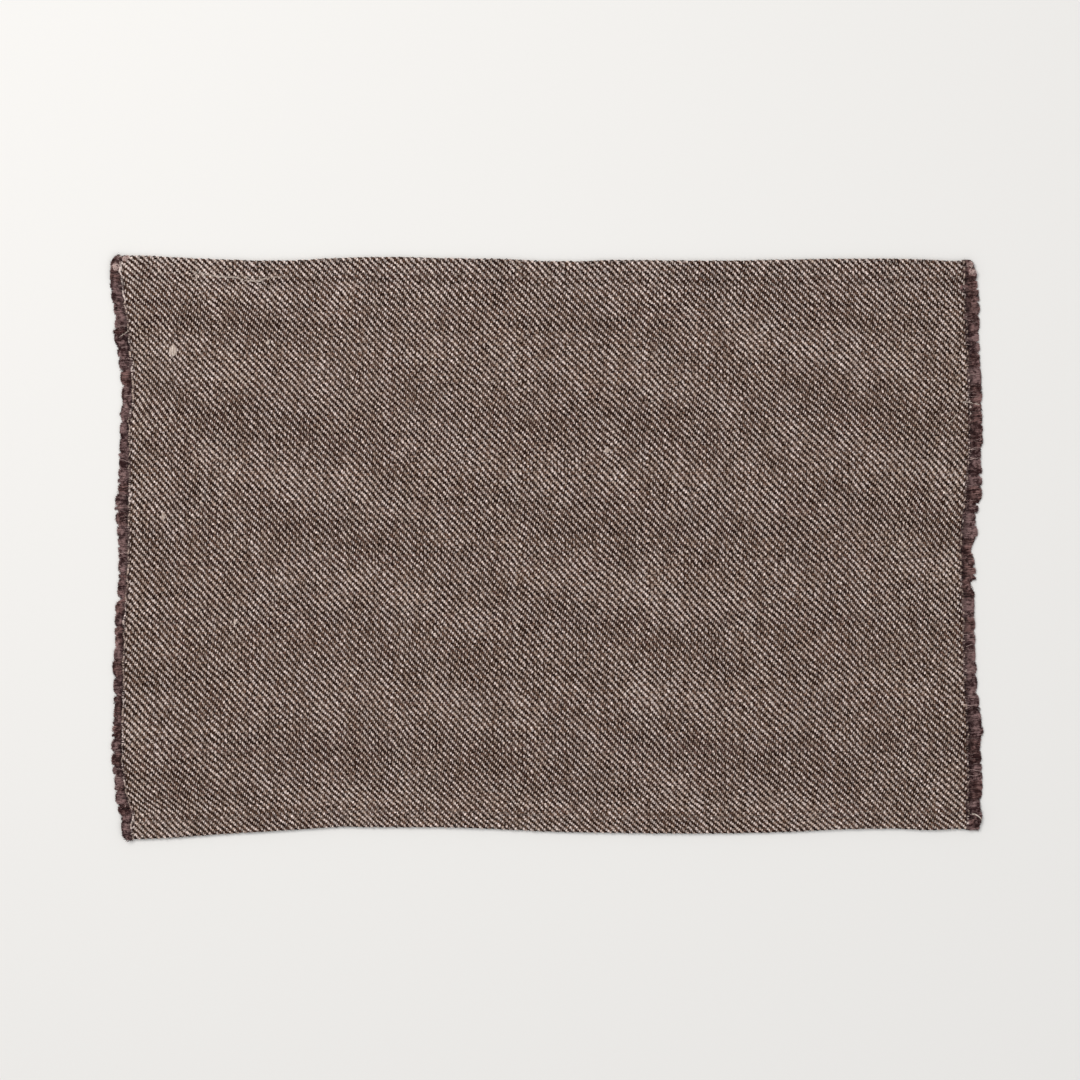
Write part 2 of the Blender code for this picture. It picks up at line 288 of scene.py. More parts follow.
class Weave:
    """Where the warp and weft lie, as ribbons of three points across."""

    def __init__(self):
        random = np.random.default_rng(WEAVE_SEED)
        self.random = random
        self.ends = warp_ends(random)
        self.picks = weft_picks(random)
        self.slow = [waves(*SLOW_BENDS, random) for _ in range(2)]
        self.quick = [waves(*QUICK_BENDS, random) for _ in range(2)]
        self.full = [waves(*OPENNESS, random) for _ in range(2)]
        self.pairs = waves(*PAIRING, random)

    def thread(self, along, pitch, fullness, looser):
        """How yarns sway, swell and rise at each station, and a random tint."""
        def uneven(slow, quick, wavelength):
            own = np.clip(self.random.standard_normal(along.shape), -2.2, 2.2)
            return slow * ripple(along, wavelength, self.random) + quick * own
        stout = STOUT * np.clip(self.random.standard_normal((len(along), 1)), -2, 2)
        swell = stout + LONG[1] * ripple(along, LONG[0], self.random)
        half = pitch * fullness / 2 * (1 + looser + swell + uneven(*YARN_WIDTH))
        return Thread(
            sway=pitch * uneven(*YARN_SWAY),
            half=np.clip(half, NARROWEST * pitch, WIDEST * pitch),
            tall=CREST * (1 + uneven(*YARN_HEIGHT)),
            tint=0.5 + uneven(*YARN_TINT),
        )

    def paired(self, number, amount, pitch, x, run):
        """How far each thread is drawn to its mate."""
        drawn = amount[0] + amount[1] * unit(self.pairs, x, run)
        return np.where(number % 2, -1, 1) * pitch * np.clip(drawn, 0, MOST_PAIR)

    def drift(self, share, run):
        """Share and run of a place after the cloth's own unevenness has moved it."""
        x = share * LENGTH
        fade = np.clip(np.minimum(share, 1 - share) * LENGTH / 12, 0.15, 1)
        run = run + shift(self.slow[0], x, run) + shift(self.quick[0], x, run)
        share = share + fade / LENGTH * (
            shift(self.slow[1], x, run) + shift(self.quick[1], x, run)
        )
        return share, run

    def warp_stations(self):
        """Every second pick, and every half pick round the folds."""
        stations = [2.0 * np.arange(len(self.picks) // 2)]
        for sign in (-1, 1):
            reach = np.array([FOLD_START - ROUND_FOLD, FOLD_END + ROUND_FOLD])
            low, high = np.sort(np.searchsorted(self.picks, sign * (FIELD_HALF + reach))) // 2 * 2
            stations.append(np.arange(low, high + 2, 0.5))
        return np.unique(np.concatenate(stations))

    def warp(self):
        """(share, run, lift, wave, tint) of every warp end, with axes end, station, across."""
        end = np.arange(len(self.ends))[:, None]
        first = (0.5 - end) % 2
        coarse = between(self.picks, first + 2 * np.arange(len(self.picks) // 2))
        pitch = np.gradient(self.ends)[:, None]
        looser = unit(self.full[0], self.ends[:, None] * LENGTH, coarse) * LOOSER
        made = self.thread(coarse, pitch, WARP_FULLNESS, looser)
        made.tint[:] += STREAK[1] * ripple(coarse, STREAK[0], self.random)
        made.tint[[0, -1]] += (EDGE_WILD - 1) * (made.tint[[0, -1]] - 0.5)
        made.tint[[0, -1]] -= np.array(EDGE_DIM)[:, None]
        made.sway[[0, -1]] *= EDGE_WILD
        low, high, more = HEM_LIGHTER
        made.tint[:] += more * np.clip((coarse - low) / (high - low), 0, 1)
        grid = self.warp_stations()
        made = Thread(*(finer(values, grid) for values in made))
        wave = np.cos(math.pi / 2 * (first + grid + end - 0.5))
        wave[[0, -1]] += np.array(EDGE_LIFT)[:, None] * (1 - wave[[0, -1]])
        run = between(self.picks, first + grid)
        share = self.ends[:, None] + self.paired(
            end, WARP_PAIR, pitch, self.ends[:, None] * LENGTH, run
        )
        share, run = self.drift(share + made.sway, run)
        share = share[..., None] + made.half[..., None] * ACROSS
        return share, run[..., None] + 0 * ACROSS, ridge(made.tall, wave), wave, made.tint

    def weft(self):
        """(share, run, lift, wave, tint) of every pick, with axes pick, station, across."""
        pick = np.arange(len(self.picks))[:, None]
        first = (0.5 - pick) % 2
        at = first + 2 * np.arange(len(self.ends) // 2)
        wave = -np.cos(math.pi / 2 * (at + pick - 0.5))
        share = between(self.ends, at)
        run = np.broadcast_to(self.picks[:, None], share.shape)
        pitch = np.gradient(self.picks)[:, None]
        looser = unit(self.full[1], share * LENGTH, run) * LOOSER
        made = self.thread(share * LENGTH, pitch, WEFT_FULLNESS, looser)
        run = run + self.paired(pick, WEFT_PAIR, pitch, share * LENGTH, run)
        share, run = self.drift(share, run + made.sway)
        run = run[..., None] + made.half[..., None] * ACROSS
        return share[..., None] + 0 * ACROSS, run, ridge(made.tall, wave), wave, made.tint


ACROSS = np.array([-1.0, 0.0, 1.0])


def between(places, at):
    """The place at a fractional number of a thread, running on past the outermost ones."""
    first, last = places[0], places[-1]
    wider = [2 * first - places[1], *places, 2 * last - places[-2]]
    return np.interp(at, np.arange(-1, len(places) + 1), wider)


def finer(values, grid):
    """Values known at every second thread, worked out at the stations of grid."""
    at = np.minimum(grid / 2, values.shape[1] - 1)
    low = np.minimum(at.astype(int), values.shape[1] - 2)
    return values[:, low] + (values[:, low + 1] - values[:, low]) * (at - low)


def ridge(tall, wave):
    """Lift of a ribbon's edge, ridge and edge. It folds down at a float and up beneath one."""
    drop = 1 - EDGE_DROP / CREST * np.abs(ACROSS)
    return (tall * wave)[..., None] * drop


def new_mesh(name, points, faces):
    """A mesh from arrays: points in mm, and faces that all have the same number of corners."""
    mesh = bpy.data.meshes.new(name)
    mesh.vertices.add(len(points))
    mesh.vertices.foreach_set("co", (points * MM).astype(np.float32).ravel())
    mesh.loops.add(faces.size)
    mesh.loops.foreach_set("vertex_index", faces.astype(np.int32).ravel())
    mesh.polygons.add(len(faces))
    starts = np.arange(len(faces), dtype=np.int32) * faces.shape[1]
    mesh.polygons.foreach_set("loop_start", starts)
    mesh.polygons.foreach_set("use_smooth", np.ones(len(faces), bool))
    mesh.update(calc_edges=True)
    return mesh


def write(mesh, name, kind, values):
    """Values for each point, which a material reads by name."""
    field = "vector" if kind == "FLOAT_VECTOR" else "value"
    made = mesh.attributes.new(name, kind, "POINT")
    made.data.foreach_set(field, np.ascontiguousarray(values, np.float32).ravel())


def write_map(mesh, places):
    """The UV map named OFBake, with a place for each point."""
    corners = np.empty(len(mesh.loops), np.int32)
    mesh.loops.foreach_get("vertex_index", corners)
    layer = mesh.uv_layers.new(name="OFBake")
    layer.data.foreach_set("uv", places[corners].astype(np.float32).ravel())


def add_piece(name, mesh, material):
    """An object that rides on the mat."""
    piece = bpy.data.objects.new(name, mesh)
    bpy.context.scene.collection.objects.link(piece)
    mesh.materials.append(material)
    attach(piece, "root")
    return piece


def grid_faces(yarns, stations, wide, turned):
    """Quads between neighbouring points of each yarn, facing up on the cloth's face side."""
    number = np.arange(yarns * stations * wide).reshape(yarns, stations, wide)
    a, b = number[:, :-1, :-1], number[:, :-1, 1:]
    c, d = number[:, 1:, 1:], number[:, 1:, :-1]
    corners = [a, d, c, b] if turned else [a, b, c, d]
    return np.stack([corner.ravel() for corner in corners], axis=1)


def ribbons(name, share, run, lift, wave, tint, along, weft, material):
    """One piece made of many yarns."""
    yarns, stations, wide = share.shape
    mesh = new_mesh(name, place(share, run, lift).reshape(-1, 3),
                    grid_faces(yarns, stations, wide, weft))
    number = np.random.default_rng(len(name)).random((yarns, 1, 1))
    full = np.zeros(share.shape)
    write(mesh, "yarn", "FLOAT_VECTOR", np.stack(
        [full + ACROSS, full + along[..., None], full + number], axis=-1))
    write(mesh, "dip", "FLOAT", full + wave[..., None])
    write(mesh, "tint", "FLOAT", full + tint[..., None])
    strip = (np.arange(yarns)[:, None, None] + 0.5 + 0.49 * ACROSS) / yarns + full
    station = np.linspace(0.001, 0.999, stations)[None, :, None] + full
    order = [station, strip] if weft else [strip, station]
    write_map(mesh, np.stack(order, axis=-1).reshape(-1, 2))
    return add_piece(name, mesh, material)


# ---------------------------------------------------------------- materials


class Nodes:
    """Short ways to add nodes to a new material."""

    def __init__(self, name, roughness, sheen, specular=0.25):
        self.material = bpy.data.materials.new(name)
        self.material.use_nodes = True
        self.tree = self.material.node_tree
        self.shader = self.tree.nodes["Principled BSDF"]
        self.shader.inputs["Roughness"].default_value = roughness
        self.shader.inputs["Sheen Weight"].default_value = sheen
        self.shader.inputs["Sheen Roughness"].default_value = 0.5
        self.shader.inputs["Specular IOR Level"].default_value = specular

    def put(self, socket, value):
        """Links or sets one input."""
        if isinstance(value, bpy.types.NodeSocket):
            self.tree.links.new(value, socket)
        else:
            socket.default_value = value

    def add(self, kind, *values, **settings):
        """A node with its inputs filled in order. It returns the node."""
        node = self.tree.nodes.new(kind)
        for name, value in settings.items():
            setattr(node, name, value)
        for socket, value in zip(node.inputs, values):
            self.put(socket, value)
        return node

    def maths(self, operation, *values):
        """The result of a Math node."""
        return self.add("ShaderNodeMath", *values, operation=operation).outputs[0]

    def plus(self, one, other):
        return self.maths("ADD", one, other)

    def times(self, one, other):
        return self.maths("MULTIPLY", one, other)

    def swing(self, value, size):
        """A value from 0 to 1 taken to -size / 2 to size / 2."""
        return self.times(self.maths("SUBTRACT", value, 0.5), size)

    def read(self, name, output="Fac"):
        """What write has stored for each point."""
        return self.add("ShaderNodeAttribute", attribute_name=name).outputs[output]

    def parts(self, name):
        """The three numbers of a stored vector."""
        return self.add("ShaderNodeSeparateXYZ", self.read(name, "Vector")).outputs

    def place(self):
        """The place on the mat, in metres."""
        return self.add("ShaderNodeTexCoord").outputs["Object"]

    def noise(self, vector, scale, detail=2.0):
        """Noise from 0 to 1 at scale cells for each unit of vector."""
        node = self.add("ShaderNodeTexNoise")
        for name, value in (("Vector", vector), ("Scale", scale), ("Detail", detail)):
            self.put(node.inputs[name], value)
        return node.outputs["Fac"]

    def vector(self, x, y, z):
        """A vector from three numbers or sockets."""
        return self.add("ShaderNodeCombineXYZ", x, y, z).outputs[0]

    def fit(self, value, low, high, to_low=0.0, to_high=1.0):
        """value from low..high taken to to_low..to_high, smoothly and held at both ends."""
        return self.add("ShaderNodeMapRange", value, low, high, to_low, to_high,
                        interpolation_type="SMOOTHSTEP").outputs[0]

    def blend(self, factor, one, other, kind="MIX"):
        """A mix of two colours."""
        node = self.add("ShaderNodeMix", data_type="RGBA", blend_type=kind)
        for index, given in ((0, factor), (6, one), (7, other)):
            self.put(node.inputs[index], given)
        return node.outputs[2]

    def shaded(self, colour, shade):
        """A colour made darker where shade is less than 1."""
        grey = self.add("ShaderNodeCombineColor", shade, shade, shade).outputs[0]
        return self.blend(1.0, colour, grey, "MULTIPLY")

    def done(self, colour, height=None, strength=0.5, distance=0.1 * MM):
        """The material, with its colour and any relief that its bump shows."""
        self.put(self.shader.inputs["Base Color"], colour)
        if height is not None:
            bump = self.add("ShaderNodeBump")
            for name, value in (("Strength", strength), ("Distance", distance), ("Height", height)):
                self.put(bump.inputs[name], value)
            self.put(self.shader.inputs["Normal"], bump.outputs[0])
        return self.material


APART = 531.0  # takes each yarn to a part of the noise of its own
TWIST = (2.2, 2.6)  # how fast the fibres turn across a yarn and along it
TONE_MIX = (0.70, 0.30, 0.45)  # weights of slow changes, of spots and of fibres in a yarn's colour
TINT_SIZE = 0.6  # weight of the tint that the weave gives
FUZZ = (1100.0, 3.1, -0.55)  # cells to a metre of the fuzz on the yarns, its gain and its offset
YARN_RELIEF = (0.12, 0.02, 0.10)  # height in mm of a yarn's roundness, plies and fibres


def yarn_material(name, light, dark, spread, sheen, specular, cast):
    """Spun yarn, plied from fibres: its colour runs from dark to light in slow streaks and
    fine fibres, each yarn a little different. Painted shade darkens it where it dives under
    another and towards its two edges, as on a round yarn, more deeply in some patches."""
    made = Nodes(name, 0.88, sheen, specular)
    place_in = made.place()
    across, along, number = made.parts("yarn")
    apart = made.times(number, APART)
    slow = made.noise(made.vector(made.times(along, 0.022), apart, 0.0), 1.0)
    spots = made.noise(made.vector(made.times(along, 0.9), apart, 7.0), 1.0)
    twisted = made.plus(made.times(across, TWIST[0]), made.times(along, TWIST[1]))
    fibres = made.noise(made.vector(twisted, made.times(along, 0.35), apart), 2.0, 3.0)
    tone = made.plus(made.times(slow, TONE_MIX[0]), made.times(spots, TONE_MIX[1]))
    tone = made.plus(tone, made.times(fibres, TONE_MIX[2]))
    tone = made.plus(tone, made.swing(number, spread))
    tone = made.plus(tone, made.swing(made.read("tint"), TINT_SIZE))
    colour = made.blend(made.fit(tone, 0.45, 1.0), dark, light)
    other = made.maths("FRACT", made.times(number, 37.0))
    tinted = made.fit(made.plus(other, made.noise(place_in, 26.0, 3.0)), 1.0, 1.5)
    colour = made.blend(tinted, colour, made.blend(1.0, colour, cast, "MULTIPLY"))
    # painted shade: darker where the yarn dives under a crossing yarn, from the stored dip
    dip = made.fit(made.maths("ABSOLUTE", made.read("dip")), 0.0, 0.6, 0.35, 1.0)
    # painted shade on the yarn's two edges, as on the sides of a round yarn; its depth changes by patch
    shade_depth = made.fit(made.noise(place_in, 50.0), 0.35, 0.65, 0.70, 1.0)
    edge = made.fit(made.maths("ABSOLUTE", across), 0.45, 1.0, 1.0, shade_depth)
    scale, gain, offset = FUZZ
    fuzz = made.maths("MULTIPLY_ADD", made.noise(place_in, scale, 1.0), gain, offset)
    # the painted shade of dives and edges, and the fibre fuzz, darken the colour together
    colour = made.shaded(colour, made.times(made.times(dip, edge), fuzz))
    rounded = made.maths("SQRT", made.maths("SUBTRACT", 1.02, made.times(across, across)))
    ply = made.maths("SINE", made.times(twisted, 3.1))
    height = made.plus(made.times(rounded, YARN_RELIEF[0]), made.times(ply, YARN_RELIEF[1]))
    height = made.plus(height, made.times(fibres, YARN_RELIEF[2]))
    return made.done(colour, height, strength=0.7, distance=MM)


def shadow_material():
    """A sheet of painted shade in the middle of the cloth, seen only through the gaps between yarns."""
    made = Nodes("painted_shade_sheet", roughness=1.0, sheen=0.0, specular=0.05)
    mottle = made.noise(made.place(), 400.0)
    # the painted shade's colours, very dark brown with a mottle
    return made.done(made.blend(mottle, (0.024, 0.011, 0.007, 1), (0.060, 0.034, 0.023, 1)))


def fringe_material():
    """Cut weft ends: brown with a purple or a red cast from clump to clump, and some pale fibres.
    Painted shade darkens each strand over the first part of its length, at a cut end's root."""
    made = Nodes("cut_weft_ends", roughness=0.9, sheen=0.06, specular=0.1)
    kind, along, tint = made.parts("strand")
    redder = made.fit(kind, 0.35, 0.75)
    dark = made.blend(redder, PURPLE_DARK, RED_DARK)
    light = made.blend(redder, PURPLE_LIGHT, RED_LIGHT)
    place_in = made.place()
    tone = made.plus(tint, made.swing(made.noise(place_in, 650.0, 3.0), 2.2))
    tone = made.plus(tone, made.swing(made.noise(place_in, 260.0), 1.9))
    colour = made.blend(made.fit(tone, 0.05, 0.95), dark, light)
    pale = made.fit(tint, 0.91, 0.97)
    colour = made.blend(pale, colour, FRINGE_PALE)
    # painted shade: each strand darker over its first part, which for a cut end is its root; pale
    # fibres get none
    shade = made.maths("MAXIMUM", made.fit(along, 0.14, 0.62, 0.40, 1.0), pale)
    return made.done(made.shaded(colour, shade), made.noise(place_in, 2500.0, 1.0))


def strand_material(name, dark, light):
    """Loose fibres and threads between two colours."""
    made = Nodes(name, roughness=0.85, sheen=0.2)
    tint = made.parts("strand")[2]
    place_in = made.place()
    tone = made.plus(tint, made.swing(made.noise(place_in, 1300.0), 0.9))
    colour = made.blend(made.fit(tone, 0.0, 1.0), dark, light)
    return made.done(colour, made.noise(place_in, 3000.0, 1.0))


WARP_PALE = (0.72, 0.63, 0.56, 1)  # slubs and loose strands
WARP_LIGHT, WARP_DARK = (0.588, 0.489, 0.455, 1), (0.368, 0.279, 0.236, 1)
WARP_CAST = (1.0, 1.0, 0.97, 1)  # what tints some ends yellower
WEFT_LIGHT, WEFT_DARK = (0.098, 0.053, 0.036, 1), (0.021, 0.0078, 0.0042, 1)
WEFT_CAST = (1.0, 1.0, 1.18, 1)  # and some picks more purple
PURPLE_LIGHT, PURPLE_DARK = (0.325, 0.205, 0.200, 1), (0.040, 0.016, 0.017, 1)
RED_LIGHT, RED_DARK = (0.335, 0.190, 0.175, 1), (0.050, 0.017, 0.016, 1)
FRINGE_PALE = (0.58, 0.43, 0.40, 1)
SEWING_LIGHT, SEWING_DARK = (0.30, 0.235, 0.20, 1), (0.12, 0.085, 0.07, 1)


# ---------------------------------------------------------------- pieces


INSIDE_POINTS = (90, 40)  # along the mat, and along each part of its section
INSIDE_SHORT = 0.4  # how far the surface stops short of a raw edge
FOLD_SINK = 0.38  # how far it lies towards the inner side of a fold, where the yarns spread


def make_inside():
    """The cloth's middle surface: a dark sheet of painted shade that the yarns run through."""
    share = np.linspace(0.001, 0.999, INSIDE_POINTS[0])
    hem = np.linspace(0, RAW_EDGE - INSIDE_SHORT, INSIDE_POINTS[1])
    field = np.linspace(-FIELD_HALF, FIELD_HALF, INSIDE_POINTS[1])
    run = np.concatenate([-FIELD_HALF - hem[:0:-1], field, FIELD_HALF + hem[1:]])
    from_fold = np.abs(np.abs(run) - FIELD_HALF - (FOLD_START + FOLD_END) / 2)
    lift = -FOLD_SINK * np.clip(1.6 - from_fold / 2, 0, 1)
    points = place(share[None, :], run[:, None], lift[:, None])
    faces = grid_faces(1, len(run), len(share), False)
    mesh = new_mesh("painted_shade_sheet", points.reshape(-1, 3), faces)
    places = np.stack(np.meshgrid(share, (run + WHOLE) / (2 * WHOLE)), axis=-1)
    write_map(mesh, places.reshape(-1, 2))
    return add_piece("painted_shade_sheet", mesh, shadow_material())


def make_yarns(weave):
    """The warp and the weft, each in two pieces."""
    warp_look = yarn_material("warp_yarn", WARP_LIGHT, WARP_DARK, 0.14, 0.08, 0.2, WARP_CAST)
    weft_look = yarn_material("weft_yarn", WEFT_LIGHT, WEFT_DARK, 0.25, 0.0, 0.06, WEFT_CAST)
    pieces = []
    for weft, names, look in (
        (False, ("warp_left", "warp_right"), warp_look),
        (True, ("weft_near", "weft_far"), weft_look),
    ):
        made = weave.weft() if weft else weave.warp()
        share, run = made[:2]
        along = share[..., 1] * LENGTH if weft else run[..., 1]
        half = len(share) // 2
        for name, part in zip(names, (slice(None, half), slice(half, None))):
            values = [each[part] for each in (*made, along)]
            pieces.append(ribbons(name, *values, weft, look))
    return pieces


# ---------------------------------------------------------------- fringe and loose fibres


Tip = namedtuple("Tip", "y reach")  # where the fringe's outline bends
LEFT_TIPS = table(
    Tip, (-153.0, 219.6), (-150.4, 221.8), (-147.5, 222.3), (-141.2, 222.3), (-137.0, 223.8),
    (-132.8, 225.2), (-120.3, 225.9), (-114.0, 227.2), (-95.2, 227.0), (-82.6, 225.9), (-69.0, 226.2),
    (-59.1, 227.0), (-53.3, 225.7), (-36.6, 225.7), (-30.3, 225.2), (-26.9, 222.4), (-24.5, 224.6),
    (-13.6, 223.6), (-1.0, 223.8), (14.6, 224.9), (22.5, 225.7), (30.3, 224.1), (49.2, 223.3),
    (66.9, 222.8), (71.1, 222.0), (80.5, 221.8), (93.1, 222.8), (105.6, 224.9), (111.9, 226.7),
    (118.2, 225.2), (127.6, 226.7), (137.0, 228.3), (148.6, 228.0), (151.0, 226.6), (152.6, 224.6),
)
RIGHT_TIPS = table(
    Tip, (-149.0, 222.6), (-147.6, 225.4), (-145.4, 226.9), (-140.2, 227.8), (-133.9, 226.7),
    (-126.6, 228.3), (-114.0, 227.5), (-101.5, 227.0), (-96.2, 228.6), (-92.0, 227.8), (-82.6, 226.2),
    (-74.3, 225.2), (-58.6, 224.6), (-32.4, 223.8), (-24.1, 224.2), (-19.9, 221.9), (-17.6, 221.9),
    (-16.4, 224.8), (-7.3, 223.8), (-4.2, 222.8), (1.0, 222.3), (5.2, 225.4), (11.5, 225.2),
    (14.6, 223.8), (17.8, 225.2), (22.0, 225.9), (26.2, 227.2), (30.3, 227.8), (50.2, 227.2),
    (55.4, 228.3), (66.9, 228.0), (75.3, 227.5), (80.5, 228.0), (93.1, 227.2), (105.6, 226.2),
    (118.2, 226.5), (130.8, 226.2), (143.3, 224.6), (148.0, 223.4), (150.2, 221.6),
)
FRINGE_TONES = {  # how much lighter the cut ends are at some places (y, more)
    "left": ((-20.0, 0.0), (0.0, 0.05), (60.0, 0.05), (90.0, 0.0)),
    "right": ((-150.0, -0.12), (-80.0, -0.12), (-60.0, 0.06), (0.0, 0.06), (40.0, 0.0)),
}
CLUMP_SIZES = (3, 11)  # picks whose cut ends cling together
CLUMP_CLING = (0.0, 0.05)  # share of the way to the clump's middle that its tips move
CLUMP_TONE = (0.33, 0.57)  # tint of a clump, from 0 for dark to 1 for light
LEAST_HALF = 0.9  # half the width of the narrowest clump
SCALLOP = (0.2, 1.8)  # how much further out a clump ends in its middle than at its sides
BULGE = 0.35  # share of that by which its middle passes the outline
# What each pick's cut end is made of: how many of each sort, how far round its middle they lie,
# their radius, the share of it that they lose, how unevenly they end, stray and wave, their
# points along and around, and the share of pale ones.
Cut = namedtuple("Cut", "each ring radius taper short stray wavy stations sides pale")
BED = Cut(1, 0.0, 0.85, 0.2, 0.1, 0.1, 0.0, 4, 2, 0.0)
PLIES = Cut(4, 0.32, 0.27, 0.30, 0.12, 0.35, 0.30, 5, 3, 0.0)
FIBRES = Cut(11, 0.50, 0.09, 0.5, 0.25, 0.75, 0.40, 4, 2, 0.045)
# the bed's share of its tint is painted shade, as it lies under the plies
BED_LOWER, BED_SHORTER, BED_SHADE = 0.3, 0.25, 0.8  # the last is a share of its tint
PILE = 11  # short fibres that stand out of one pick's cut end
PILE_LENGTH = (0.6, 1.7)
PILE_RADIUS = 0.08
ROOT = 1.2  # length of each cut end that lies between the outermost warp ends
LOWEST, HIGHEST = 0.12, 2.5  # heights of the lowest fibre, and of the highest tip
DROOP = 0.62  # height of a tip as a share of its root's


def strand_faces(count, stations, sides):
    """Quads of tubes, or of flat ribbons where sides is 2."""
    number = np.arange(count * stations * sides).reshape(count, stations, sides)
    beside = np.roll(number, -1, axis=2)
    last = sides if sides > 2 else 1
    corners = [number[:, :-1], beside[:, :-1], beside[:, 1:], number[:, 1:]]
    return np.stack([corner[..., :last].ravel() for corner in corners], axis=1)


def strands(name, groups, material):
    """One piece made of fibres. Each group holds (paths, radii, kinds, tints, sides): paths
    has axes fibre, station, xyz, and kinds and tints hold a number from 0 to 1 for each."""
    points, faces, looks, places, made = [], [], [], [], 0
    total = sum(len(group[0]) for group in groups)
    columns = math.ceil(math.sqrt(total))
    for paths, radii, kinds, tints, sides in groups:
        count, stations, _ = paths.shape
        along = np.gradient(paths, axis=1)
        along /= np.maximum(np.linalg.norm(along, axis=2, keepdims=True), 1e-9)
        side = np.cross(along, [0.02, 0.013, 1.0])
        side /= np.linalg.norm(side, axis=2, keepdims=True)
        other = np.cross(side, along)
        turn = 2 * math.pi * (np.arange(sides) / sides + 0.21 * kinds[:, None, None] + 0.02)
        ring = side[:, :, None] * np.cos(turn)[..., None] + other[:, :, None] * np.sin(turn)[..., None]
        points.append((paths[:, :, None] + ring * radii[:, :, None, None]).reshape(-1, 3))
        faces.append(strand_faces(count, stations, sides) + sum(map(len, points[:-1])))
        full = np.zeros((count, stations, sides))
        run = np.linspace(0, 1, stations)[None, :, None]
        looks.append(np.stack([full + kinds[:, None, None], full + run,
                               full + tints[:, None, None]], axis=-1).reshape(-1, 3))
        number = made + np.arange(count)[:, None, None]
        cell = np.stack([full + number % columns, full + number // columns], axis=-1)
        inner = np.stack([full + (np.arange(sides) + 0.5) / sides, full + run], axis=-1)
        places.append(((cell + 0.15 + 0.7 * inner) / columns).reshape(-1, 2))
        made += count
    mesh = new_mesh(name, np.concatenate(points), np.concatenate(faces))
    write(mesh, "strand", "FLOAT_VECTOR", np.concatenate(looks))
    write_map(mesh, np.concatenate(places))
    return add_piece(name, mesh, material)


def bend(start, middle, end, stations):
    """Points along curves that leave start for middle and arrive at end."""
    t = np.linspace(0, 1, stations)[None, :, None]
    start, middle, end = (place_at[:, None] for place_at in (start, middle, end))
    return (1 - t) ** 2 * start + 2 * t * (1 - t) * middle + t**2 * end


def tip_reach(tips, y):
    """How far out the fringe's outline lies at y."""
    return np.interp(y, [tip.y for tip in tips], [tip.reach for tip in tips])


